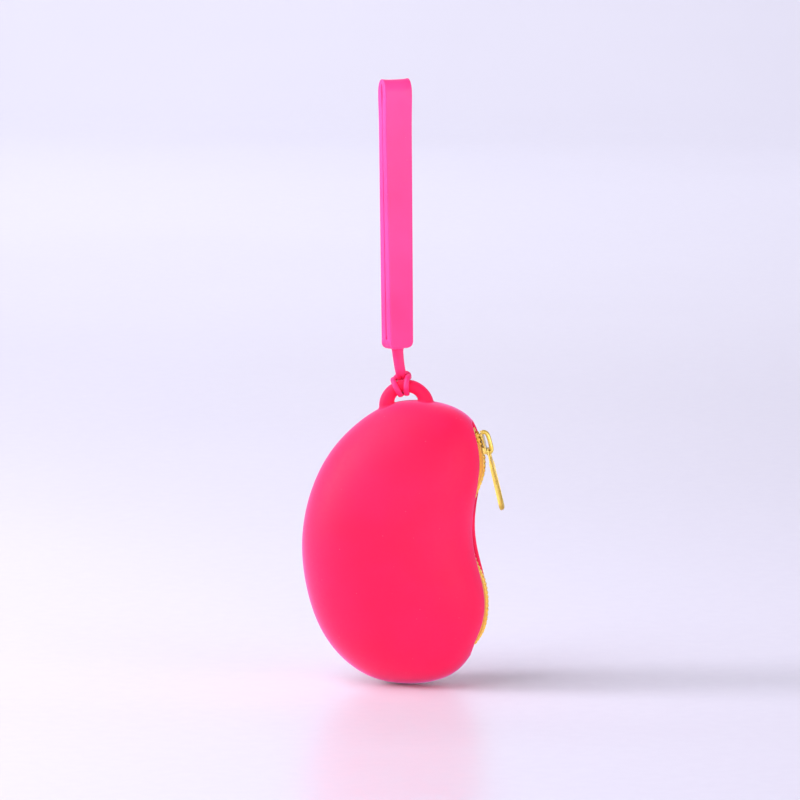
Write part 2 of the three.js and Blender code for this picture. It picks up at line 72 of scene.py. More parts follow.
OUTLINE_X = np.array([
    9.24, 22.2, 32.2, 36.25, 36.8, 34.4, 34.2, 38.15, 38.5, 35.1, 28.14, 19.32,
    5.04, -8.4, -18.9, -28.06, -34.1, -37.8, -39.06, -36.62, -31.5, -23.31, -13.02, -2.94])
HARMONICS = 8
SLIT_HALF = 5.4
LIP_R = 0.9
LUG_X, LUG_Z, LUG_R, LUG_BAR = 4.83, -134.02, 8.6, 2.65
CHAIN_LINE = [
    (29.4, -137.3), (31.6, -139.4), (33.7, -142.0), (35.55, -145.66), (36.6, -149.23),
    (37.45, -152.8), (37.88, -157.0), (37.63, -161.2), (36.5, -165.4), (34.88, -169.6),
    (33.25, -174.0), (32.2, -178.84), (31.9, -184.3), (32.25, -189.76), (33.5, -194.8),
    (35.4, -199.84), (37.36, -204.88), (38.64, -209.92), (39.19, -214.96), (39.14, -220.0),
    (38.47, -225.04), (36.96, -230.08), (34.65, -234.7), (31.71, -238.9), (29.19, -241.84)]
TOOTH_PITCH, TOOTH_HALF_T, ROW_SPLIT = 1.9, 1.0, 1.45
TAPE_T, TAPE_EDGE, TAPE_OUTER = 0.5, 2.6, 10.5
STOP_L = 2.0
SLIDER_LEN = 9.6
PULL_AXIS_A, PULL_AXIS_N, PULL_LEN, PULL_HALF_W, PULL_T, PULL_BAR = 2.8, 2.8, 26.4, 2.5, 1.65, 0.42
STRAP_W, STRAP_HALF, STRAP_TOP = 12.4, 3.15, 2.25
STRAP_BOTTOM_Z, STRAP_LOW_X, STRAP_YAW_TOP, STRAP_YAW_LOW = -109.75, 1.05, 32.0, 48.0
CORD_R, HITCH_ANGLE = 1.1, 12.0
HITCH_R = LUG_BAR + 0.1 + CORD_R
FLOOR_Z = -251.3


# ---------------------------------------------------------------- mesh helpers
def smooth01(t):
    t = np.clip(t, 0.0, 1.0)
    return t * t * (3 - 2 * t)


def make(name, verts, faces, sharp=None, weld=True):
    """Closed mesh object from points in mm."""
    me = bpy.data.meshes.new(name)
    me.from_pydata((np.asarray(verts, float) * MM).tolist(), [], [tuple(int(i) for i in f) for f in faces])
    bm = bmesh.new()
    bm.from_mesh(me)
    if weld:
        bmesh.ops.remove_doubles(bm, verts=bm.verts, dist=2e-7)
        bmesh.ops.dissolve_degenerate(bm, dist=1e-8, edges=bm.edges)
    bmesh.ops.recalc_face_normals(bm, faces=bm.faces)
    bm.to_mesh(me)
    bm.free()
    me.polygons.foreach_set("use_smooth", [True] * len(me.polygons))
    if sharp:
        me.set_sharp_from_angle(angle=math.radians(sharp))
    ob = bpy.data.objects.new(name, me)
    bpy.context.scene.collection.objects.link(ob)
    return ob


def quads(rows, cols, base=0, close_rows=False, close_cols=False):
    out = []
    for j in range(rows if close_rows else rows - 1):
        for c in range(cols if close_cols else cols - 1):
            a, b = j * cols + c, j * cols + (c + 1) % cols
            d, e = ((j + 1) % rows) * cols + c, ((j + 1) % rows) * cols + (c + 1) % cols
            out.append((base + a, base + b, base + e, base + d))
    return out


def catmull(points, per=24):
    """Centripetal curve through the points."""
    p = [np.array(q, float) for q in points]
    p = [2 * p[0] - p[1], *p, 2 * p[-1] - p[-2]]
    out = []
    for i in range(1, len(p) - 2):
        p0, p1, p2, p3 = p[i - 1:i + 3]
        d0, d1, d2 = (max(1e-4, np.linalg.norm(b - a)) ** 0.5 for a, b in ((p0, p1), (p1, p2), (p2, p3)))
        t1 = ((p1 - p0) / d0 - (p2 - p0) / (d0 + d1) + (p2 - p1) / d1) * d1
        t2 = ((p2 - p1) / d1 - (p3 - p1) / (d1 + d2) + (p3 - p2) / d2) * d1
        for u in np.arange(per) / per:
            out.append((2 * u**3 - 3 * u**2 + 1) * p1 + (u**3 - 2 * u**2 + u) * t1
                       + (3 * u**2 - 2 * u**3) * p2 + (u**3 - u**2) * t2)
    out.append(p[-2])
    return np.array(out)


def even(path, count):
    """The path again, as evenly spaced points."""
    d = np.concatenate([[0], np.cumsum(np.linalg.norm(np.diff(path, axis=0), axis=1))])
    s = np.linspace(0, d[-1], count)
    return np.stack([np.interp(s, d, path[:, k]) for k in range(3)], 1)


def tube(path, radius, sides=16):
    """Vertices and faces of a round tube with domed ends, its frame carried along the path."""
    n = len(path)
    t = np.gradient(path, axis=0)
    t /= np.linalg.norm(t, axis=1)[:, None]
    side = np.cross(t[0], (0.3, 1.0, 0.2))
    side /= np.linalg.norm(side)
    rings = []
    ang = np.arange(sides) * 2 * np.pi / sides
    for i in range(n):
        side = side - t[i] * (side @ t[i])
        side /= np.linalg.norm(side)
        up = np.cross(t[i], side)
        rings.append(path[i] + radius[i] * (np.cos(ang)[:, None] * side + np.sin(ang)[:, None] * up))
    v = np.concatenate(rings)
    f = quads(n, sides, close_cols=True)
    v = np.concatenate([v, [path[0] - t[0] * radius[0] * 0.3], [path[-1] + t[-1] * radius[-1] * 0.3]])
    a, b, last = n * sides, n * sides + 1, (n - 1) * sides
    f += [(a, (c + 1) % sides, c) for c in range(sides)]
    f += [(b, last + c, last + (c + 1) % sides) for c in range(sides)]
    return v, f


def chaikin(points, times=2):
    p = np.array(points, float)
    for _ in range(times):
        q = np.roll(p, -1, 0)
        p = np.stack([0.75 * p + 0.25 * q, 0.25 * p + 0.75 * q], 1).reshape(-1, p.shape[1])
    return p


def slab(outline, half, bevel, holes=(), rings=3):
    """Flat slab with round edges from an outline in (a, y) and holes through it, -half..half thick: points (a, y, n) and faces."""
    cu = bpy.data.curves.new("outline", "CURVE")
    cu.dimensions = "2D"
    cu.fill_mode = "BOTH"
    cu.extrude = half - bevel
    cu.bevel_depth = bevel
    cu.bevel_resolution = rings
    cu.offset = -bevel
    for loop in (outline, *holes):
        sp = cu.splines.new("POLY")
        sp.points.add(len(loop) - 1)
        for p, (a, y) in zip(sp.points, loop):
            p.co = (a, y, 0, 1)
        sp.use_cyclic_u = True
    ob = bpy.data.objects.new("outline", cu)
    bpy.context.scene.collection.objects.link(ob)
    dg = bpy.context.evaluated_depsgraph_get()
    me = bpy.data.meshes.new_from_object(ob.evaluated_get(dg))
    v = np.array([x.co for x in me.vertices], float).reshape(-1, 3)
    f = [tuple(p.vertices) for p in me.polygons]
    bpy.data.objects.remove(ob)
    bpy.data.curves.remove(cu)
    bpy.data.meshes.remove(me)
    return v, f


def merged(parts):
    """Several (points, faces) as one list of each."""
    v, f, base = [], [], 0
    for pv, pf in parts:
        v.append(np.asarray(pv, float))
        f += [tuple(i + base for i in q) for q in pf]
        base += len(pv)
    return np.concatenate(v), f


# ---------------------------------------------------------------- the bean's surface
_i = np.arange(len(OUTLINE_X))
_k = np.arange(HARMONICS + 1)
_w = np.where(_k == 0, 1.0, 2.0) / len(OUTLINE_X)
OUT_COS = _w * (OUTLINE_X * np.cos(2 * np.pi * _k[:, None] * _i / len(OUTLINE_X))).sum(1)
OUT_SIN = _w * (OUTLINE_X * np.sin(2 * np.pi * _k[:, None] * _i / len(OUTLINE_X))).sum(1)


def outline_x(phi):
    phi = np.asarray(phi, float)[..., None]
    return (OUT_COS * np.cos(phi * _k) + OUT_SIN * np.sin(phi * _k)).sum(-1)


def section(phi, t):
    right, left = outline_x(phi), outline_x(2 * np.pi - phi)
    s = np.sin(phi)
    half = np.maximum(1e-9, (right - left) / 2 - t * s)
    deep = np.maximum(1e-9, BODY_HALF_D * s * (1 + 0.1 * np.cos(phi) ** 2) - t * s)
    return (right + left) / 2, half, deep


def bean(phi, theta, t=0.0):
    phi, theta = np.broadcast_arrays(np.asarray(phi, float), np.asarray(theta, float))
    mid, half, deep = section(phi, t)
    c, d = np.cos(theta), np.sin(theta)
    return np.stack([mid + half * c * (1 + 0.05 * d * d), deep * d * (1 + 0.05 * c * c),
                     BODY_MID_Z + (BODY_HALF_H - t) * np.cos(phi)], -1)


def theta_for(phi, y, t):
    """Angle from +X where the section reaches a distance y from the middle plane."""
    lo, hi = np.zeros_like(phi), np.full_like(phi, np.pi / 2)
    for _ in range(36):
        m = (lo + hi) / 2
        less = bean(phi, m, t)[..., 1] < y
        lo, hi = np.where(less, m, lo), np.where(less, hi, m)
    return lo


def dome_z(x, y, t=0.0):
    """Height of the bean's top above a point."""
    lo, hi = 1e-4, 1.3
    for _ in range(44):
        m = (lo + hi) / 2
        mid, half, deep = section(np.array(m), t)
        u, v = (x - mid) / half, y / deep
        th = math.atan2(v, u)
        c, d = math.cos(th), math.sin(th)
        inside = math.hypot(u, v) < math.hypot(c * (1 + 0.05 * d * d), d * (1 + 0.05 * c * c))
        lo, hi = (lo, m) if inside else (m, hi)
    return BODY_MID_Z + (BODY_HALF_H - t) * math.cos(hi)


def inner_x(z, y):
    phi = np.arccos(np.clip((z - BODY_MID_Z) / (BODY_HALF_H - WALL), -1, 1))
    return bean(phi, theta_for(phi, np.abs(y), WALL), WALL)[..., 0]


# ---------------------------------------------------------------- the zip's line
_line = catmull([(x, 0.0, z) for x, z in CHAIN_LINE], 60)
_len = np.concatenate([[0], np.cumsum(np.linalg.norm(np.diff(_line, axis=0), axis=1))])
CHAIN_LEN = _len[-1]
_tan = np.gradient(_line, axis=0)
_tan /= np.linalg.norm(_tan, axis=1)[:, None]


def chain_frame(s):
    """Middle of the teeth at lengths s, tangent down the zip, normal outwards."""
    s = np.asarray(s, float)
    p = np.stack([np.interp(s, _len, _line[:, k]) for k in range(3)], -1)
    t = np.stack([np.interp(s, _len, _tan[:, k]) for k in range(3)], -1)
    t /= np.linalg.norm(t, axis=-1)[..., None]
    over = np.where(s < 0, s, np.where(s > CHAIN_LEN, s - CHAIN_LEN, 0.0))
    n = np.stack([-t[..., 2], np.zeros_like(s), t[..., 0]], -1)
    # the chain lies a little deeper below the waist and at its lower end
    sink = 0.7 * np.exp(-((p[..., 2] + 198.5) / 5.5) ** 2) + 1.05 * smooth01((s - CHAIN_LEN + 18) / 11) + 0.5 * smooth01((s - CHAIN_LEN + 10) / 5)
    return p + t * over[..., None] - n * (TOOTH_HALF_T + sink)[..., None], t, n


def chain_point(s, y, n):
    s, y, n = np.broadcast_arrays(*(np.asarray(q, float) for q in (s, y, n)))
    p, _, nn = chain_frame(s)
    out = p + nn * n[..., None]
    out[..., 1] = y
    return out


SLIDER_S = float(np.interp(149.1, -_line[:, 2], _len))
SLIT_TOP, SLIT_LOW = 3.4, CHAIN_LEN - 3.0
TOP_STOP_S = SLIDER_S - SLIDER_LEN / 2 - 0.7 - STOP_L / 2
LOW_STOP_S = CHAIN_LEN - 6.0
ROW_TOP = TOP_STOP_S + STOP_L / 2 + 0.3
ROW_LOW = LOW_STOP_S - STOP_L / 2 - 0.3


def split(s):
    return ROW_SPLIT * smooth01((SLIDER_S + 1.4 - np.asarray(s, float)) / 3.4)


def wall_depth(s, q):
    lo, hi = np.full_like(s, -14.0), np.full_like(s, 3.0)
    for _ in range(26):
        m = (lo + hi) / 2
        p = chain_point(s, 0.0, m)
        less = p[..., 0] < inner_x(p[..., 2], np.full_like(s, q))
        lo, hi = np.where(less, m, lo), np.where(less, hi, m)
    return lo


# ---------------------------------------------------------------- the slit, drawn in at both ends
_ph = np.linspace(0, np.pi, 6001)
_sig = np.concatenate([[0], np.cumsum(np.linalg.norm(np.diff(bean(_ph, np.zeros_like(_ph)), axis=0), axis=1))])
SLIT_END = 11.0


def down_edge(z):
    """Length down the bean's zip side, from its top to a height."""
    return np.interp(np.arccos(np.clip((np.asarray(z, float) - BODY_MID_Z) / BODY_HALF_H, -1, 1)), _ph, _sig)


SIG_TOP = float(down_edge(chain_point(SLIT_TOP, 0, 1.0)[2])) - LIP_R
SIG_LOW = float(down_edge(chain_point(SLIT_LOW, 0, 1.0)[2])) + LIP_R


def slit_wide(sig):
    """Half width of the slit where its lips begin to round over."""
    d = np.clip(np.minimum(sig - SIG_TOP, SIG_LOW - sig) / SLIT_END, 0, 1)
    return (SLIT_HALF + LIP_R) * np.sqrt(1 - (1 - d) ** 2)


# ---------------------------------------------------------------- materials
def node(nt, kind, **inputs):
    nd = nt.nodes.new(kind)
    for k, v in inputs.items():
        if hasattr(nd, k):
            setattr(nd, k, v)
        else:
            nd.inputs[k.replace("_", " ")].default_value = v
    return nd


def new_material(name):
    m = bpy.data.materials.new(name)
    m.use_nodes = True
    nt = m.node_tree
    nt.nodes.clear()
    out = nt.nodes.new("ShaderNodeOutputMaterial")
    bsdf = nt.nodes.new("ShaderNodeBsdfPrincipled")
    nt.links.new(bsdf.outputs["BSDF"], out.inputs["Surface"])
    return m, nt, bsdf


def ramp(nt, source, stops):
    r = nt.nodes.new("ShaderNodeValToRGB")
    el = r.color_ramp.elements
    while len(el) < len(stops):
        el.new(0.5)
    for e, (pos, col) in zip(el, stops):
        e.position = pos
        e.color = (*col, 1) if len(col) == 3 else col
    nt.links.new(source, r.inputs["Fac"])
    return r


def ranged(nt, source, lo, hi, from_lo=0.3, from_hi=0.7):
    m = nt.nodes.new("ShaderNodeMapRange")
    m.inputs["From Min"].default_value, m.inputs["From Max"].default_value = from_lo, from_hi
    m.inputs["To Min"].default_value, m.inputs["To Max"].default_value = lo, hi
    nt.links.new(source, m.inputs["Value"])
    return m.outputs["Result"]


def noise(nt, coord, scale, detail=3.0, rough=0.55):
    n = nt.nodes.new("ShaderNodeTexNoise")
    n.inputs["Scale"].default_value = scale
    n.inputs["Detail"].default_value = detail
    n.inputs["Roughness"].default_value = rough
    nt.links.new(coord, n.inputs["Vector"])
    return n


def mixed(nt, fac, a, b, mode="MIX"):
    m = nt.nodes.new("ShaderNodeMix")
    m.data_type = "RGBA"
    m.blend_type = mode
    for value, k in ((fac, 0), (a, 6), (b, 7)):
        if isinstance(value, bpy.types.NodeSocket):
            nt.links.new(value, m.inputs[k])
        elif k == 0:
            m.inputs[k].default_value = value
        else:
            m.inputs[k].default_value = (*value, 1)
    return m.outputs[2]


def bump(nt, bsdf, height, strength, distance, previous=None):
    b = nt.nodes.new("ShaderNodeBump")
    b.inputs["Strength"].default_value = strength
    b.inputs["Distance"].default_value = distance
    nt.links.new(height, b.inputs["Height"])
    if previous is not None:
        nt.links.new(previous, b.inputs["Normal"])
    nt.links.new(b.outputs["Normal"], bsdf.inputs["Normal"])
    return b.outputs["Normal"]


def silicone(name, deep, base, light, rough=(0.44, 0.56), sss=0.12, bloom=0.05):
    """Matte moulded silicone: faint clouding in the pigment, a fine blasted mould texture and a few settled specks."""
    m, nt, bsdf = new_material(name)
    tc = nt.nodes.new("ShaderNodeTexCoord").outputs["Object"]
    cloud = noise(nt, tc, 26.0, 3.0, 0.5)
    col = ramp(nt, cloud.outputs["Fac"], [(0.3, deep), (0.5, base), (0.7, light)]).outputs["Color"]
    fine = noise(nt, tc, 2600.0, 2.0, 0.6)
    grain = noise(nt, tc, 700.0, 3.0, 0.6)
    col = mixed(nt, ranged(nt, grain.outputs["Fac"], 0.0, 0.10, 0.45, 0.75), col, light)
    speck = nt.nodes.new("ShaderNodeTexVoronoi")
    speck.inputs["Scale"].default_value = 210.0
    nt.links.new(tc, speck.inputs["Vector"])
    spot = ranged(nt, speck.outputs["Distance"], 0.16, 0.0, 0.02, 0.055)
    col = mixed(nt, spot, col, (1.0, 0.45, 0.55))
    nt.links.new(col, bsdf.inputs["Base Color"])
    nt.links.new(ranged(nt, grain.outputs["Fac"], rough[0], rough[1]), bsdf.inputs["Roughness"])
    n1 = bump(nt, bsdf, fine.outputs["Fac"], 0.12, 0.00006)
    bump(nt, bsdf, grain.outputs["Fac"], 0.05, 0.0002, n1)
    bsdf.inputs["Subsurface Weight"].default_value = sss
    bsdf.inputs["Subsurface Radius"].default_value = (1.0, 0.3, 0.35)
    bsdf.inputs["Subsurface Scale"].default_value = 0.0025
    bsdf.inputs["Specular IOR Level"].default_value = 0.22
    bsdf.inputs["Sheen Weight"].default_value = bloom
    bsdf.inputs["Sheen Roughness"].default_value = 0.4
    bsdf.inputs["Sheen Tint"].default_value = (1.0, 0.42, 1.0, 1)
    return m


def woven(name, dark, base, light):
    """Woven tape: yarns laid in rows along and across, from the piece's own length and width."""
    m, nt, bsdf = new_material(name)
    at = nt.nodes.new("ShaderNodeAttribute")
    at.attribute_name = "weave"
    brick = nt.nodes.new("ShaderNodeTexBrick")
    brick.offset = 0.5
    for k, v in (("Scale", 1.0), ("Mortar Size", 0.05), ("Mortar Smooth", 0.7), ("Bias", 0.0),
                 ("Brick Width", 0.62), ("Row Height", 0.31)):
        brick.inputs[k].default_value = v
    brick.inputs["Color1"].default_value = (*base, 1)
    brick.inputs["Color2"].default_value = (*light, 1)
    # the narrow gaps between the yarns take the dark colour: painted shade in the weave's recesses (the fuzz below
    # mixes the same colour in at random)
    brick.inputs["Mortar"].default_value = (*dark, 1)
    nt.links.new(at.outputs["Vector"], brick.inputs["Vector"])
    tc = nt.nodes.new("ShaderNodeTexCoord").outputs["Object"]
    fuzz = noise(nt, tc, 1800.0, 3.0, 0.7)
    cloud = noise(nt, tc, 90.0, 2.0, 0.5)
    col = mixed(nt, ranged(nt, fuzz.outputs["Fac"], 0.0, 0.35), brick.outputs["Color"], dark)
    col = mixed(nt, ranged(nt, cloud.outputs["Fac"], 0.0, 0.3), col, light)
    nt.links.new(col, bsdf.inputs["Base Color"])
    nt.links.new(ranged(nt, fuzz.outputs["Fac"], 0.72, 0.95), bsdf.inputs["Roughness"])
    inv = nt.nodes.new("ShaderNodeMath")
    inv.operation = "SUBTRACT"
    inv.inputs[0].default_value = 1.0
    nt.links.new(brick.outputs["Fac"], inv.inputs[1])
    n1 = bump(nt, bsdf, inv.outputs[0], 0.7, 0.0001)
    bump(nt, bsdf, fuzz.outputs["Fac"], 0.3, 0.00005, n1)
    bsdf.inputs["Sheen Weight"].default_value = 0.3
    bsdf.inputs["Sheen Roughness"].default_value = 0.5
    return m


def acetal(name, deep, base, light):
    """Moulded zip teeth: satin plastic, a little translucent, paler along its sharp edges."""
    m, nt, bsdf = new_material(name)
    tc = nt.nodes.new("ShaderNodeTexCoord").outputs["Object"]
    cloud = noise(nt, tc, 160.0, 3.0, 0.5)
    col = ramp(nt, cloud.outputs["Fac"], [(0.3, deep), (0.52, base), (0.72, light)]).outputs["Color"]
    geo = nt.nodes.new("ShaderNodeNewGeometry")
    col = mixed(nt, ranged(nt, geo.outputs["Pointiness"], 0.0, 0.45, 0.52, 0.62), col, light)
    nt.links.new(col, bsdf.inputs["Base Color"])
    fine = noise(nt, tc, 2200.0, 2.0, 0.5)
    nt.links.new(ranged(nt, fine.outputs["Fac"], 0.26, 0.42), bsdf.inputs["Roughness"])
    bump(nt, bsdf, fine.outputs["Fac"], 0.1, 0.00004)
    bsdf.inputs["Subsurface Weight"].default_value = 0.15
    bsdf.inputs["Subsurface Radius"].default_value = (1.0, 0.6, 0.2)
    bsdf.inputs["Subsurface Scale"].default_value = 0.0008
    return m


def enamel(name, deep, base, light, bare):
    """Cast metal with a thin lacquer: slight orange peel, worn through along its edges."""
    m, nt, bsdf = new_material(name)
    tc = nt.nodes.new("ShaderNodeTexCoord").outputs["Object"]
    cloud = noise(nt, tc, 240.0, 4.0, 0.55)
    col = ramp(nt, cloud.outputs["Fac"], [(0.3, deep), (0.5, base), (0.7, light)]).outputs["Color"]
    geo = nt.nodes.new("ShaderNodeNewGeometry")
    scuff = noise(nt, tc, 900.0, 4.0, 0.7)
    edge = ranged(nt, geo.outputs["Pointiness"], 0.0, 1.0, 0.53, 0.64)
    wear = nt.nodes.new("ShaderNodeMath")
    wear.operation = "MULTIPLY"
    nt.links.new(edge, wear.inputs[0])
    nt.links.new(ranged(nt, scuff.outputs["Fac"], 0.0, 0.8, 0.4, 0.65), wear.inputs[1])
    col = mixed(nt, wear.outputs[0], col, bare)
    nt.links.new(col, bsdf.inputs["Base Color"])
    nt.links.new(ranged(nt, scuff.outputs["Fac"], 0.22, 0.40), bsdf.inputs["Roughness"])
    peel = noise(nt, tc, 1300.0, 2.0, 0.5)
    bump(nt, bsdf, peel.outputs["Fac"], 0.08, 0.00006)
    bsdf.inputs["Metallic"].default_value = 0.45
    bsdf.inputs["Coat Weight"].default_value = 0.35
    bsdf.inputs["Coat Roughness"].default_value = 0.12
    return m


SHELL = silicone("shell_silicone", (0.905, 0.0044, 0.069), (0.93, 0.0058, 0.080), (0.955, 0.0085, 0.095), bloom=0.75, rough=(0.54, 0.66))
STRAP = silicone("strap_silicone", (0.92, 0.047, 0.250), (0.95, 0.058, 0.287), (0.97, 0.070, 0.332), (0.40, 0.52), 0.16)
TETHER = silicone("tether_silicone", (0.91, 0.029, 0.165), (0.94, 0.036, 0.195), (0.96, 0.045, 0.225), (0.40, 0.52), 0.16)
TAPE = woven("zip_tape", (0.62, 0.19, 0.018), (0.93, 0.40, 0.035), (0.98, 0.52, 0.07))
TEETH = acetal("zip_plastic", (0.90, 0.48, 0.030), (0.96, 0.60, 0.055), (1.0, 0.74, 0.14))
METAL = enamel("zip_metal", (0.66, 0.44, 0.052), (0.75, 0.545, 0.085), (0.83, 0.65, 0.16), (0.90, 0.82, 0.60))


def finish_piece(ob, material, body=None, nodes=()):
    ob.data.materials.clear()
    ob.data.materials.append(material)
    if nodes:
        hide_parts(*nodes)
    if body:
        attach(ob, body)
    return ob


# ---------------------------------------------------------------- shell: one skin, outside, lip and inside
def make_shell():
    ends = SLIT_END * np.linspace(0, 1, 22) ** 2
    above = np.linspace(0, SIG_TOP, int(SIG_TOP / 0.9))[1:-1]
    inside = np.concatenate([SIG_TOP + ends, np.linspace(SIG_TOP + SLIT_END, SIG_LOW - SLIT_END, 84)[1:-1], (SIG_LOW - ends)[::-1]])
    below = np.linspace(SIG_LOW, _sig[-1], int((_sig[-1] - SIG_LOW) / 0.9))[1:-1]
    rows = np.concatenate([above, inside, below])
    first, last = len(above), len(above) + len(inside) - 1
    phi = np.interp(rows, _sig, _ph)
    wide = slit_wide(rows)
    wide[[first, last]] = 0.0
    half_cols = 96
    verts = []
    for t in (0.0, WALL):
        lip = np.where(wide > 0, theta_for(phi, wide, t), 0.0)
        _, _, deep = section(phi, t)
        d1, d2 = (np.minimum(q / np.maximum(deep, 3.0), 0.03) for q in (0.22, 0.5))
        f = np.linspace(0, 1, half_cols) ** 1.12
        far = lip[:, None] + (np.pi - d2 - lip)[:, None] * f
        mid = np.stack([np.pi - d1, np.full_like(phi, np.pi), np.pi + d1], 1)
        theta = np.concatenate([far, mid, 2 * np.pi - far[:, ::-1]], 1)
        p = bean(phi[:, None], theta, t)
        if t == 0.0:  # faint parting line down the back
            rise = np.sin(phi)[:, None] * np.array([0.05, 0.11, 0.05])
            p[:, half_cols:half_cols + 3, 0] -= rise
        verts.append(p)
    nr, nc = verts[0].shape[:2]
    v = [verts[0].reshape(-1, 3), verts[1].reshape(-1, 3)]
    f = quads(nr, nc) + quads(nr, nc, nr * nc)
    base = 2 * nr * nc
    # poles
    for t, off in ((0.0, 0), (WALL, nr * nc)):
        for pole, row in ((0.0, 0), (np.pi, nr - 1)):
            v.append(bean(pole, 0.0, t).reshape(1, 3))
            f += [(base, off + row * nc + c, off + row * nc + c + 1) for c in range(nc - 1)]
            base += 1
    # rounded lip from the outer edge of the slit to its inner edge
    loop = [(j, 0) for j in range(first, last + 1)] + [(j, nc - 1) for j in range(last - 1, first, -1)]
    o = np.array([verts[0][j, c] for j, c in loop])
    i = np.array([verts[1][j, c] for j, c in loop])
    m, h = (o + i) / 2, (o - i) / 2
    tang = np.roll(m, -1, 0) - np.roll(m, 1, 0)
    g = np.cross(tang, h)
    g /= np.linalg.norm(g, axis=1)[:, None]
    steps = 8
    ring = [[j * nc + c for j, c in loop]]
    for k in range(1, steps):
        a = np.pi * k / steps
        v.append(m + h * math.cos(a) + g * (LIP_R * math.sin(a) ** 0.85))
        ring.append(list(range(base, base + len(loop))))
        base += len(loop)
    ring.append([nr * nc + j * nc + c for j, c in loop])
    for a, b in zip(ring[:-1], ring[1:]):
        n = len(loop)
        f += [(a[k], a[(k + 1) % n], b[(k + 1) % n], b[k]) for k in range(n)]
    return make("pouch_shell", np.concatenate(v), f)


shell = finish_piece(make_shell(), SHELL, "pouch", ("near_shell_half", "far_shell_half"))


# ---------------------------------------------------------------- lug: half ring with a fillet on to the dome
def make_lug():
    sides, reach = 32, 1.0
    psi = np.arange(sides) * 2 * np.pi / sides

    def on_bar(alpha, q):
        k = float(smooth01((abs(math.degrees(alpha) - 90) - 34) / 46))  # thicker towards its feet
        b = LUG_BAR + 0.42 * k
        r = LUG_R - 0.16 * k + b * math.cos(q)
        return np.array([LUG_X + r * math.cos(alpha), b * math.sin(q), LUG_Z + r * math.sin(alpha)])

    def foot(sign):
        hits = []
        for q in psi:
            lo, hi = math.pi / 2, math.pi / 2 + sign * math.radians(128)
            for _ in range(40):
                m = (lo + hi) / 2
                p = on_bar(m, q)
                lo, hi = (m, hi) if p[2] > dome_z(p[0], p[1]) else (lo, m)
            hits.append(lo)
        return np.array(hits)

    rows = []
    left, right = foot(1), foot(-1)
    starts = []
    for hit, sign in ((left, 1), (right, -1)):
        c = np.array([on_bar(a, q) for a, q in zip(hit, psi)])
        centre = c.mean(0)
        up = hit - sign * reach / (LUG_R + LUG_BAR * np.cos(psi))
        a = np.array([on_bar(x, q) for x, q in zip(up, psi)])
        out = c - centre
        out[:, 2] = 0
        out /= np.linalg.norm(out, axis=1)[:, None]
        b = c + out * reach * 0.9
        b[:, 2] = [dome_z(x, y) + 0.015 for x, y in b[:, :2]]
        sunk = b + out * 0.35
        sunk[:, 2] = [dome_z(x, y) - 0.5 for x, y in sunk[:, :2]]
        us = np.linspace(1, 0, 9)
        fil = [(1 - u) ** 2 * a + 2 * u * (1 - u) * c + u * u * b for u in us]
        rows.append([sunk, *fil])
        starts.append(up)
    bar = []
    for k in np.linspace(0, 1, 44)[1:-1]:
        al = starts[0] + (starts[1] - starts[0]) * k
        bar.append(np.array([on_bar(x, q) for x, q in zip(al, psi)]))
    grid = rows[0] + bar + rows[1][::-1]
    v = np.concatenate(grid)
    f = quads(len(grid), sides, close_cols=True)
    n = len(v)
    caps = np.array([grid[0].mean(0), grid[-1].mean(0)])
    for q in caps:
        q[2] = dome_z(q[0], q[1]) - 0.9
    f += [(n, (c + 1) % sides, c) for c in range(sides)]
    last = (len(grid) - 1) * sides
    f += [(n + 1, last + c, last + (c + 1) % sides) for c in range(sides)]
    return make("strap_lug_ring", np.concatenate([v, caps]), f)


lug = finish_piece(make_lug(), SHELL, "pouch", ("strap_lug",))


# ---------------------------------------------------------------- zip tapes and teeth
# above the slider's lowest place the rows part: each half is in three lengths
S_MID, S_LOW = 46.0, 80.0


def part_squash(ob, upper):
    z0 = float(chain_point(ROW_TOP if upper else S_LOW, 0, 0)[2])
    x0 = float(chain_point(S_MID, 0, 0)[0])
    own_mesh(ob)


_ws = np.linspace(2.5, CHAIN_LEN - 2.5, 90)
_under = [wall_depth(_ws, q) - 1.0 for q in (4.8, 7.6, 10.5)]


def under(s, q):
    a, b, c = (np.interp(s, _ws, u) for u in _under)
    k = np.clip((q - 4.8) / 5.7, 0, 1)
    return a * (1 - k) * (1 - 2 * k) + 4 * b * k * (1 - k) + c * k * (2 * k - 1)


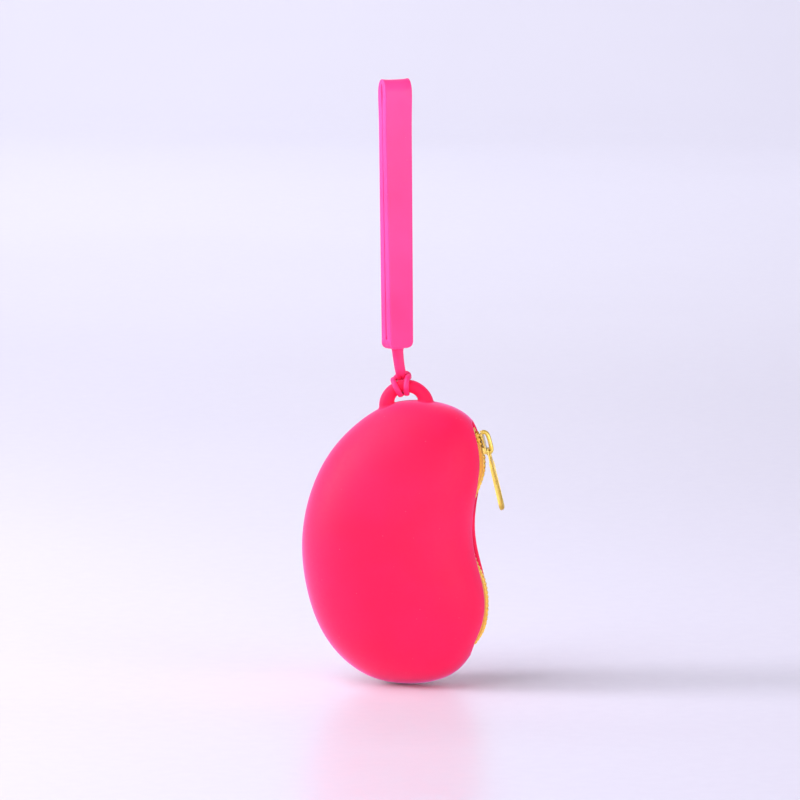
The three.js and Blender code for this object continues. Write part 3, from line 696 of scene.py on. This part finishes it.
def make_tape(name, side, s0, s1):
    s = np.linspace(s0, s1, int((s1 - s0) / 0.6) + 2)
    edge = TAPE_EDGE + split(s) - 0.35
    bend = np.maximum(3.5, edge + 0.5)
    cols = [edge, (edge + bend) / 2, bend - 0.1]
    cols += [bend + (4.8 - bend) * k for k in (0.15, 0.3, 0.45, 0.6, 0.75, 0.9)]
    cols += [np.full_like(s, q) for q in (4.95, 5.4, 6.0, 6.8, 7.7, 8.6, 9.6, TAPE_OUTER)]
    q = np.stack(cols, 1)
    lip = slit_wide(down_edge(chain_point(s, 0, 1.0)[:, 2])) - LIP_R
    # above the slider the tape falls away from its corded edge and its end is tucked in
    flat = np.minimum(bend - 0.7 * smooth01((SLIDER_S + 1.0 - s) / 3.0), lip - 1.0)
    tuck = -(1.0 * smooth01((SLIDER_S + 0.5 - s) / 3.0) + 1.0 * smooth01((9.6 - s) / 3.5))[:, None]
    fall = np.maximum(0.6, np.minimum(4.8, lip - 0.15) - flat)
    k = smooth01((q - flat[:, None]) / fall[:, None])
    n = under(np.broadcast_to(s[:, None], q.shape), np.maximum(q, 4.8)) * k + tuck * (1 - k)
    # offset each way across the cloth
    dq, dn = np.gradient(q, axis=1), np.gradient(n, axis=1)
    length = np.hypot(dq, dn)
    oy, on = -dn / length * TAPE_T / 2, dq / length * TAPE_T / 2
    top = chain_point(s[:, None], side * (q + oy), n + on)
    low = chain_point(s[:, None], side * (q - oy), n - on)
    rim_a = chain_point(s, side * (q[:, 0] - 0.18), n[:, 0])[:, None]
    rim_b = chain_point(s, side * (q[:, -1] + 0.18), n[:, -1])[:, None]
    grid = np.concatenate([rim_a, top, rim_b, low[:, ::-1]], 1)
    nr, nc = grid.shape[:2]
    f = quads(nr, nc, close_cols=True)
    f += [tuple(range(nc))[::-1], tuple((nr - 1) * nc + c for c in range(nc))]
    ob = make(name, grid.reshape(-1, 3), f, sharp=60, weld=False)
    w = np.concatenate([q[:, :1], q, q[:, -1:], q[:, ::-1]], 1)
    at = ob.data.attributes.new("weave", "FLOAT_VECTOR", "POINT")
    data = np.stack([np.broadcast_to(s[:, None], w.shape), w, np.zeros_like(w)], -1)
    at.data.foreach_set("vector", data.reshape(-1).astype(np.float32))
    return ob


TOOTH = [(-2.1, 0.30), (-2.04, 0.42), (-1.9, 0.47), (-0.95, 0.47), (-0.55, 0.40), (-0.2, 0.29), (0.05, 0.30),
         (0.25, 0.37), (0.42, 0.36), (0.54, 0.27), (0.6, 0.12)]


def make_row(name, side, s0, s1, start, end):
    outline = np.array([(x, -h) for x, h in TOOTH] + [(x, h) for x, h in TOOTH[::-1]])
    inner = outline * (0.93, 0.72) - (0.03, 0.0)
    levels = [(-TOOTH_HALF_T, inner), (-0.9, outline * (0.985, 0.93)), (-0.74, outline), (0.0, outline * (1.0, 0.985)),
              (0.74, outline), (0.9, outline * (0.985, 0.93)), (TOOTH_HALF_T, inner)]
    parts = []
    count = int((ROW_LOW - ROW_TOP - 1.2) / TOOTH_PITCH)
    n = len(outline)
    for i in range(count):
        s = ROW_TOP + 0.7 + (i + (0.25 if side < 0 else 0.75)) * TOOTH_PITCH
        if not s0 <= s < s1:
            continue
        p, t, nn = chain_frame(s)
        v = []
        for level, shape in levels:
            for x, y in shape:
                q = p + t * y + nn * level
                q[1] = side * (float(split(s)) - x)
                v.append(q)
        f = quads(len(levels), n, close_cols=True)
        f += [tuple(range(n))[::-1], tuple((len(levels) - 1) * n + c for c in range(n))]
        parts.append((v, f))
    # corded edge that the teeth are moulded round
    s = np.linspace(start, end, int((end - start) / 0.45) + 2)
    ang = np.arange(12) * 2 * np.pi / 12
    twist = 0.05 * np.sin(2 * np.pi * s / 0.9)[:, None]
    y = 1.55 + split(s)[:, None] + (0.36 + twist) * np.cos(ang)
    h = (0.56 + twist) * np.sin(ang)
    grid = chain_point(s[:, None], side * y, h)
    f = quads(len(s), 12, close_cols=True)
    f += [tuple(range(12))[::-1], tuple((len(s) - 1) * 12 + c for c in range(12))]
    parts.append((grid.reshape(-1, 3), f))
    return make(name, *merged(parts), sharp=50)


for word, side in (("near", -1), ("far", 1)):
    lengths = (("upper", 3.0, S_MID + 0.5), ("middle", S_MID, S_LOW), ("lower", S_LOW, CHAIN_LEN - 3.0))
    for part, s0, s1 in lengths:
        ob = make_tape(f"{word}_zip_tape_{part}", side, s0, s1)
        finish_piece(ob, TAPE, "pouch", (f"{word}_zip_tape",))
        lo, hi = max(s0, ROW_TOP), min(s1, ROW_LOW)
        row = make_row(f"{word}_teeth_row_{part}", side, -1 if part == "upper" else s0,
                       S_MID if part == "upper" else s1 if part == "middle" else 999, lo, hi)
        finish_piece(row, TEETH, "pouch", (f"{word}_teeth_row",))
        if part != "lower":
            part_squash(ob, part == "upper")
            part_squash(row, part == "upper")


# ---------------------------------------------------------------- stops: small clamped blocks with a waist
def rounded(a, b, r, count=5):
    """Outline of a rectangle -a..a by -b..b with round corners."""
    out = []
    for cx, cy, start in ((a - r, b - r, 0), (-a + r, b - r, 90), (-a + r, -b + r, 180), (a - r, -b + r, 270)):
        for k in range(count + 1):
            q = math.radians(start + 90 * k / count)
            out.append((cx + r * math.cos(q), cy + r * math.sin(q)))
    return out


def make_stop(name, s, y0, y1, sunk):
    v, f = slab(rounded(STOP_L / 2, (y1 - y0) / 2, 0.45), 1.15, 0.3)
    # a shallow press mark across the outer face
    press = 1 - 0.16 * np.exp(-((v[:, 0] / 0.35) ** 2))
    p = chain_point(s + v[:, 0], (y0 + y1) / 2 + v[:, 1], v[:, 2] * press - sunk)
    return make(name, p, f, sharp=40)


_in = ROW_SPLIT - 0.45
for name, s, y0, y1, sunk, cad in (("near_top_stop_clip", TOP_STOP_S, -_in - 2.2, -_in, 1.25, "near_top_stop"),
                                   ("far_top_stop_clip", TOP_STOP_S, _in, _in + 2.2, 1.25, "far_top_stop"),
                                   ("bottom_stop_clip", LOW_STOP_S, -2.05, 2.05, 0.35, "bottom_stop")):
    finish_piece(make_stop(name, s, y0, y1, sunk), TEETH, "pouch", (cad,))

# ---------------------------------------------------------------- slider and pull
SP, ST, SN = chain_frame(np.array(SLIDER_S))


def on_slider(v):
    v = np.asarray(v, float)
    out = SP + v[:, :1] * ST + v[:, 2:] * SN
    out[:, 1] = v[:, 1]
    return out


def make_slider():
    h = SLIDER_LEN / 2
    half = [(-h, 1.2), (-h + 0.25, 2.3), (-h + 0.9, 3.4), (-h + 1.9, 3.9), (-1.6, 3.9),
            (0.4, 3.25), (1.6, 3.0), (h - 0.6, 3.0), (h, 2.4)]
    outline = chaikin(half + [(a, -y) for a, y in reversed(half)], 2)
    parts = []
    for level in (1.775, -1.775):
        v, f = slab(outline, 0.375, 0.2)
        parts.append((v + (0, 0, level), f))
    post = chaikin([(-h + 0.45, 0), (-h + 0.9, 0.5), (-2.6, 0.5), (-1.85, 0), (-2.6, -0.5), (-h + 0.9, -0.5)], 2)
    parts.append(slab(post, 1.7, 0.05))
    for side in (-1, 1):
        v, f = slab([(x, y) for x, y in rounded(1.4, 0.25, 0.12, 3)], 0.55, 0.08)
        for level in (1.0, -1.0):
            parts.append((v * (1, 1, 0.95) + (3.1, side * 2.7, level), f))
    # bail: an arch cast on the outer plate
    path = catmull([(-4.3, 0, 1.5), (-4.5, 0, 2.15), (-4.42, 0, 2.85), (-3.95, 0, 3.55), (-3.05, 0, 4.0), (-1.7, 0, 4.18),
                    (0.2, 0, 4.22), (1.9, 0, 4.2), (3.2, 0, 4.1), (4.15, 0, 3.68), (4.56, 0, 2.85), (4.56, 0, 1.7)], 10)
    path = even(path, 80)
    t = np.gradient(path, axis=0)
    t /= np.linalg.norm(t, axis=1)[:, None]
    nn = np.stack([-t[:, 2], np.zeros(len(t)), t[:, 0]], 1)
    ang = np.arange(20) * 2 * np.pi / 20
    cx = np.sign(np.cos(ang)) * np.abs(np.cos(ang)) ** 0.75
    cy = np.sign(np.sin(ang)) * np.abs(np.sin(ang)) ** 0.75
    flare = 1 + 0.15 * np.clip(2.6 - path[:, 2], 0, 1)
    grid = path[:, None] + nn[:, None] * (0.86 * cx)[None, :, None]
    grid = grid + np.array([0, 1, 0]) * (1.05 * cy)[None, :, None] * flare[:, None, None]
    f = quads(len(path), 20, close_cols=True)
    f += [tuple(range(20))[::-1], tuple((len(path) - 1) * 20 + c for c in range(20))]
    parts.append((grid.reshape(-1, 3), f))
    v, f = merged(parts)
    return make("slider_body_cast", on_slider(v), f, sharp=40)


def make_pull():
    a0, a1, w = PULL_AXIS_A - PULL_BAR, PULL_AXIS_A + PULL_LEN, PULL_HALF_W
    edge = [(a0, 0.0), (a0, 1.5), (a0 + 0.12, 2.05), (a0 + 0.6, 2.4)]
    edge += [(a0 + 0.6 + k * (8.4 / 16), 2.4 + 0.2 * k / 16) for k in range(1, 17)]
    edge += [(a0 + 9.0 + k * (a1 - 2.85 - a0 - 9.0) / 26, w + 0.25 * k / 26) for k in range(1, 27)]
    edge += [(a1 - 2.85 + (w + 0.25) * math.sin(q), (w + 0.25) * math.cos(q)) for q in np.radians(np.arange(7.5, 88, 7.5))]
    edge += [(a1, 0.0)]
    outline = edge + [(a, -y) for a, y in edge[-2:0:-1]]
    h0 = a0 + 2 * PULL_BAR
    hole = [(h0, -1.2), (h0 + 0.15, -1.38)] + [(h0 + 0.15 + k * 0.35, -1.4) for k in range(1, 11)] + [(h0 + 4.3, -1.1), (h0 + 4.58, -0.6), (h0 + 4.62, 0.0)]
    hole = hole + [(a, -y) for a, y in reversed(hole[:-1])]
    v, f = slab(outline, PULL_T / 2, 0.28, [hole])
    thin = PULL_BAR / (PULL_T / 2) * 0.98
    k = smooth01((v[:, 0] - (h0 + 3.9)) / 2.4)
    v[:, 2] *= thin + (1 - thin) * k
    # the free end is rounded off, and the tab hangs a touch closer to the teeth than square
    v[:, 2] *= np.sqrt(np.clip(1 - (np.clip(v[:, 0] - (a1 - 0.95), 0, 0.9) / 0.95) ** 2, 0.05, 1))
    lean = math.radians(1.5)
    a, n = v[:, 0] - PULL_AXIS_A, v[:, 2].copy()
    v[:, 0], v[:, 2] = PULL_AXIS_A + a * math.cos(lean) + n * math.sin(lean), PULL_AXIS_N - a * math.sin(lean) + n * math.cos(lean)
    return make("pull_tab_lacquered", on_slider(v), f, sharp=40)


slider = finish_piece(make_slider(), METAL, "slider", ("slider_body",))
pull = finish_piece(make_pull(), METAL, "pull", ("pull_tab",))


# ---------------------------------------------------------------- wrist strap: a flat moulded loop closing into a block
def strap_point(u, v, z):
    yaw = np.radians(STRAP_YAW_TOP + (STRAP_YAW_LOW - STRAP_YAW_TOP) * np.clip(z / STRAP_BOTTOM_Z, 0, 1))
    lean = STRAP_LOW_X * (z / STRAP_BOTTOM_Z)
    return np.stack([lean + u * np.cos(yaw) - v * np.sin(yaw), u * np.sin(yaw) + v * np.cos(yaw), z], -1)


def make_strap():
    hw = STRAP_W / 2
    z_top, gap_z = -3.2, -105.6

    def leg_out(z):  # the loop is a long drop, fullest just below the fold
        return STRAP_HALF + 0.5 * np.exp(-((z + 4.5) / 8.0) ** 2)

    def leg_in(z):  # the legs lie together, with a small round end to the gap above the block
        return 0.07 + 0.4 * np.exp(-((z + 3.8) / 4.0) ** 2) + 0.28 * np.exp(-((z - gap_z - 0.55) / 0.5) ** 2)

    outer, inner = [], []
    # right half, from the middle of the block's underside to the middle of the fold
    r = 1.3
    for k in np.linspace(0, 1, 6):
        outer.append(((STRAP_HALF - r) * k, STRAP_BOTTOM_Z))
    for q in np.radians(np.linspace(-90, 0, 6))[1:]:
        outer.append((STRAP_HALF - r + r * math.cos(q), STRAP_BOTTOM_Z + r + r * math.sin(q)))
    low = len(outer)
    zs = np.concatenate([np.linspace(STRAP_BOTTOM_Z + r, -104.0, 9)[1:], np.linspace(-104.0, z_top, 72)[1:]])
    outer += [(float(leg_out(z)), float(z)) for z in zs]
    n_in = low + 8
    zi = gap_z + np.concatenate([1.2 * np.linspace(0, 1, n_in) ** 1.5, np.linspace(1.2, z_top - gap_z, len(zs) - 7)[1:]])
    inner += [(float(leg_in(z)) * (0.0 if k == 0 else 1.0), float(z)) for k, z in enumerate(zi)]
    for k in range(1, 15):
        q = math.radians(90 * k / 14)
        outer.append((float(leg_out(z_top)) * math.cos(q), z_top + (STRAP_TOP - z_top) * math.sin(q)))
        inner.append((float(leg_in(z_top)) * math.cos(q), z_top * (1 - math.sin(q))))
    outer, inner = np.array(outer), np.array(inner)
    outer = np.concatenate([outer, (outer[1:-1] * (-1, 1))[::-1]])
    inner = np.concatenate([inner, (inner[1:-1] * (-1, 1))[::-1]])
    # across the width: outer face, rounded edge, side, rounded edge, inner face
    e = 0.5
    us, depth = [], []
    for u in np.linspace(-hw + e, hw - e, 15):
        us.append(u), depth.append(0.0)
    for q in np.radians(np.linspace(0, 90, 5))[1:]:
        us.append(hw - e + e * math.sin(q)), depth.append(e * (1 - math.cos(q)))
    m = len(us)
    span = outer - inner
    thick = np.linalg.norm(span, axis=1)
    grid = []
    order = []
    for u, d in zip(us[15:][::-1], depth[15:][::-1]):
        order.append((-u, d, True))
    for u, d in zip(us[:15], depth[:15]):
        order.append((u, d, True))
    for u, d in zip(us[15:], depth[15:]):
        order.append((u, d, True))
    for u, d in zip(us[15:][::-1], depth[15:][::-1]):
        order.append((u, d, False))
    for u, d in zip(us[:15][::-1], depth[:15][::-1]):
        order.append((u, d, False))
    for u, d in zip(us[15:], depth[15:]):
        order.append((-u, d, False))
    fold = np.clip((outer[:, 1] - z_top) / (STRAP_TOP - z_top), 0, 1)
    for u, d, out in order:
        rel = d / thick
        p = outer - span * rel[:, None] if out else inner + span * rel[:, None]
        # corners of the fold stand up a little, as a bent band's do
        lift = 0.42 * fold * (abs(u) / hw) ** 4
        p = p + np.stack([np.zeros(len(p)), lift], 1)
        wide = np.full(len(p), float(u))
        if out:  # round lower corners of the block
            rr = 3.0
            over = np.clip(rr - (p[:, 1] - STRAP_BOTTOM_Z), 0, rr)
            cut = rr - np.sqrt(np.maximum(0.0, rr * rr - over * over))
            wide = wide * (hw - cut * 0.97) / hw
        grid.append(strap_point(wide, p[:, 0], p[:, 1]))
    grid = np.stack(grid, 1)
    nr, nc = grid.shape[:2]
    return make("wrist_strap_band", grid.reshape(-1, 3), quads(nr, nc, close_rows=True, close_cols=True))


strap = finish_piece(make_strap(), STRAP, "strap", ("wrist_strap",))


# ---------------------------------------------------------------- tether cord with its lark's head
# two strands pressed together into one oval stem under the block; at the lug each goes down the bar's back, under it,
# up the front and over the top, and the bight that joins them holds the strands from behind
def stem_half(z):
    return 2.02 + 0.33 * smooth01((z + 119.0) / 8.0)


def make_tether():
    def at(p, y, q):
        a = math.radians(HITCH_ANGLE) - p / LUG_R
        return (LUG_X - (LUG_R + q) * math.sin(a), y, LUG_Z + (LUG_R + q) * math.cos(a))

    top_z = at(0, 0, 0)[2]
    r = HITCH_R

    def run(side):
        pts = []
        for z, x, y in ((STRAP_BOTTOM_Z + 1.2, 0, 0), (STRAP_BOTTOM_Z - 0.3, 0, 0), (STRAP_BOTTOM_Z - 3.3, 0.25, 0),
                        (top_z + 8.8, 0.75, 0.08), (top_z + 6.8, 1.05, 0.5), (top_z + 5.0, 1.3, 1.35)):
            pts.append((STRAP_LOW_X + x + side * max(CORD_R, stem_half(z) / 2), y, z))
        turns = [(46, 0.82, 0.15), (20, 0.98, 0.1), (-8, 1.2, 0.05), (-36, 1.5, 0), (-64, 1.84, 0), (-92, 1.98, 0), (-120, 2.0, 0),
                 (-148, 2.02, 0), (-176, 2.05, 0), (-202, 2.1, 0), (-226, 2.15, 0), (-250, 2.22, 0.03), (-274, 2.28, 0.06),
                 (-296, 2.3, 0.1)]
        for deg, p, shift in turns:
            a = math.radians(deg)
            pts.append(at(side * p + shift, r * math.cos(a), r * math.sin(a)))
        if side < 0:
            pts += [at(-1.95, 2.75, 3.55), at(-1.35, 3.7, 4.05), at(-0.65, 4.12, 4.4)]
        else:
            pts += [at(2.1, 2.8, 4.35), at(1.5, 3.7, 4.7), at(0.8, 4.12, 4.72)]
        return pts

    path = even(catmull([*run(-1), at(0.1, 4.22, 4.6), *run(1)[::-1]], 24), 480)
    flare = 0.35 * np.exp(-np.clip(STRAP_BOTTOM_Z - path[:, 2], 0, None) / 0.5)
    sides = 24
    v, f = tube(path, np.full(len(path), CORD_R), sides)
    grid = v[:len(path) * sides].reshape(len(path), sides, 3)
    # near the block each strand is half of the oval stem
    for i in range(len(path)):
        m = float(smooth01((path[i, 2] + 122.2) / 1.8))
        if m <= 0 or 120 <= i < len(path) - 120:
            continue
        side = -1 if i < len(path) / 2 else 1
        c = abs(path[i, 0] - path[len(path) - 1 - i, 0]) / 2
        wide, deep = c + max(CORD_R, stem_half(path[i, 2]) / 2) + flare[i], 1.24 + flare[i]
        d = grid[i] - path[i]
        a = np.arctan2(d[:, 1], d[:, 0] * side)
        corner = math.atan2(deep, -c)
        for edge in (corner, -corner):  # a point of the ring on each end of the seam
            a[np.argmin(np.abs(a - edge))] = edge
        ca, sa = np.cos(a), np.sin(a)
        # along each direction from the strand's middle to the oval's edge, or to the seam between the strands
        qa, qb, qc = (ca / wide) ** 2 + (sa / deep) ** 2, c * ca / wide ** 2, (c / wide) ** 2 - 1
        reach = (-qb + np.sqrt(qb * qb - qa * qc)) / qa
        reach = np.where(ca < -1e-6, np.minimum(reach, c / np.maximum(-ca, 1e-6)), reach)
        oval = np.stack([ca * reach * side, sa * reach, d[:, 2]], 1)
        grid[i] = path[i] + (1 - m) * d + m * oval
    # pulled tight, the cord is flattened under the bar
    for i in range(len(path)):
        dx, dz = LUG_X - grid[i, :, 0], grid[i, :, 2] - LUG_Z
        q, y = np.hypot(dx, dz) - LUG_R, grid[i, :, 1]
        rho = np.hypot(q, y)
        tight = smooth01((-q / rho + 0.2) / 0.8) * (rho < 6.5)
        scale = (LUG_BAR + 0.08 + (rho - LUG_BAR - 0.08) * (1 - 0.32 * tight)) / rho
        ang = np.arctan2(dx, dz)
        grid[i] = np.stack([LUG_X - (LUG_R + q * scale) * np.sin(ang), y * scale, LUG_Z + (LUG_R + q * scale) * np.cos(ang)], 1)
    v[:len(path) * sides] = grid.reshape(-1, 3)
    return make("tether_cord", v, f, sharp=50, weld=False)


tether = finish_piece(make_tether(), TETHER, None, ("tether_loop",))
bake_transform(tether)

# ---------------------------------------------------------------- stage, light and camera
m, nt, bsdf = new_material("studio_sweep")
tc = nt.nodes.new("ShaderNodeTexCoord").outputs["Object"]
cloud = noise(nt, tc, 3.0, 2.0, 0.5)
paper = ramp(nt, cloud.outputs["Fac"], [(0.35, (0.839, 0.828, 0.949)), (0.65, (0.855, 0.844, 0.965))]).outputs["Color"]
depth = nt.nodes.new("ShaderNodeSeparateXYZ")
nt.links.new(tc, depth.inputs[0])
# painted light on the stage: along its depth the sweep is darkest on the floor under and in front of the object,
# lightest on the floor behind it and a little darker again up the curve, standing in for the lamps' uneven reach
painted_light_falloff = ramp(nt, ranged(nt, depth.outputs["Y"], 0.0, 1.0, -0.3, 3.3),
            [(q, (w, w, w)) for q, w in ((0.061, 0.83), (0.088, 0.86), (0.169, 0.925), (0.45, 1.0), (0.64, 0.98), (0.86, 0.935))])
nt.links.new(mixed(nt, 1.0, paper, painted_light_falloff.outputs["Color"], "MULTIPLY"), bsdf.inputs["Base Color"])
fine = noise(nt, tc, 160.0, 2.0, 0.5)
nt.links.new(ranged(nt, fine.outputs["Fac"], 0.28, 0.36), bsdf.inputs["Roughness"])
bsdf.inputs["Specular IOR Level"].default_value = 0.22
rows, cols = [], np.linspace(-1.55, 1.55, 9)
prof = [(-1.3, 0.0), (-0.7, 0.0), (0.0, 0.0), (1.2, 0.0), (2.4, 0.0)]
prof += [(2.4 + 0.8 * math.sin(q), 0.8 - 0.8 * math.cos(q)) for q in np.radians(np.linspace(0, 90, 13))[1:]]
prof += [(3.2, 1.6), (3.2, 3.2)]
for y, z in prof:
    rows.append([(x * 1000, y * 1000, FLOOR_Z + z * 1000) for x in cols])
sweep = make("studio_sweep", np.array(rows).reshape(-1, 3), quads(len(prof), len(cols)), weld=False)
sweep.data.materials.append(m)
if sweep.data.polygons[0].normal.z < 0:
    sweep.data.flip_normals()
sweep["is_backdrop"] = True

world = bpy.data.worlds.new("studio")
bpy.context.scene.world = world
world.use_nodes = True
world.node_tree.nodes["Background"].inputs["Color"].default_value = (1.0, 0.97, 0.98, 1)
world.node_tree.nodes["Background"].inputs["Strength"].default_value = 0.25
# past the sweep's edges the studio itself is pale, without lighting the object more
pale = world.node_tree.nodes.new("ShaderNodeBackground")
pale.inputs["Color"].default_value = (0.86, 0.83, 0.98, 1)
both = world.node_tree.nodes.new("ShaderNodeMixShader")
seen = world.node_tree.nodes.new("ShaderNodeLightPath")
world.node_tree.links.new(seen.outputs["Is Camera Ray"], both.inputs[0])
world.node_tree.links.new(world.node_tree.nodes["Background"].outputs[0], both.inputs[1])
world.node_tree.links.new(pale.outputs[0], both.inputs[2])
world.node_tree.links.new(both.outputs[0], world.node_tree.nodes["World Output"].inputs["Surface"])


def softbox(name, pos, aim, size, power, colour):
    li = bpy.data.lights.new(name, "AREA")
    li.shape = "RECTANGLE"
    li.size, li.size_y = size
    li.energy = power
    li.color = colour
    ob = bpy.data.objects.new(name, li)
    bpy.context.scene.collection.objects.link(ob)
    ob.location = pos
    ob.rotation_euler = (Vector(aim) - Vector(pos)).to_track_quat("-Z", "Y").to_euler()
    ob.visible_camera = False
    return ob


softbox("key_left", (-1.6, -0.26, 0.44), (0, 0, -0.18), (0.5, 0.6), 23.0, (0.96, 0.91, 1.0))
softbox("fill_right", (1.15, -0.65, -0.05), (0, 0, -0.18), (0.8, 0.5), 9.2, (0.97, 0.90, 1.0))
softbox("front", (0.35, -1.60, -0.05), (0, 0, -0.18), (1.0, 0.5), 6.8, (1.0, 0.97, 1.0))
softbox("top", (-0.55, -0.35, 0.75), (0, 0, -0.15), (1.0, 0.9), 11.6, (0.95, 0.92, 1.0))
softbox("backdrop", (-0.8, 1.75, 1.5), (-0.8, 2.6, -0.2), (2.6, 0.6), 30.5, (0.97, 0.97, 1.0))

cam = bpy.data.cameras.new("camera")
cam.sensor_width = 36.0
AIM, AZ, EL, DIST, FIELD = Vector((2.1, 0.0, -131.45)) * MM, math.radians(6.0), math.radians(8.0), 2.4, 0.3330
cam.lens = 36.0 * DIST / FIELD
cam.clip_start, cam.clip_end = 0.01, 50
cam_ob = bpy.data.objects.new("camera", cam)
bpy.context.scene.collection.objects.link(cam_ob)
back = Vector((math.sin(AZ) * math.cos(EL), -math.cos(AZ) * math.cos(EL), math.sin(EL)))
cam_ob.location = AIM + back * DIST
cam_ob.rotation_euler = (-back).to_track_quat("-Z", "Y").to_euler()
bpy.context.scene.camera = cam_ob

bpy.context.scene.view_settings.view_transform = "Standard"
bpy.context.scene.view_settings.look = "None"

lo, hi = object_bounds()
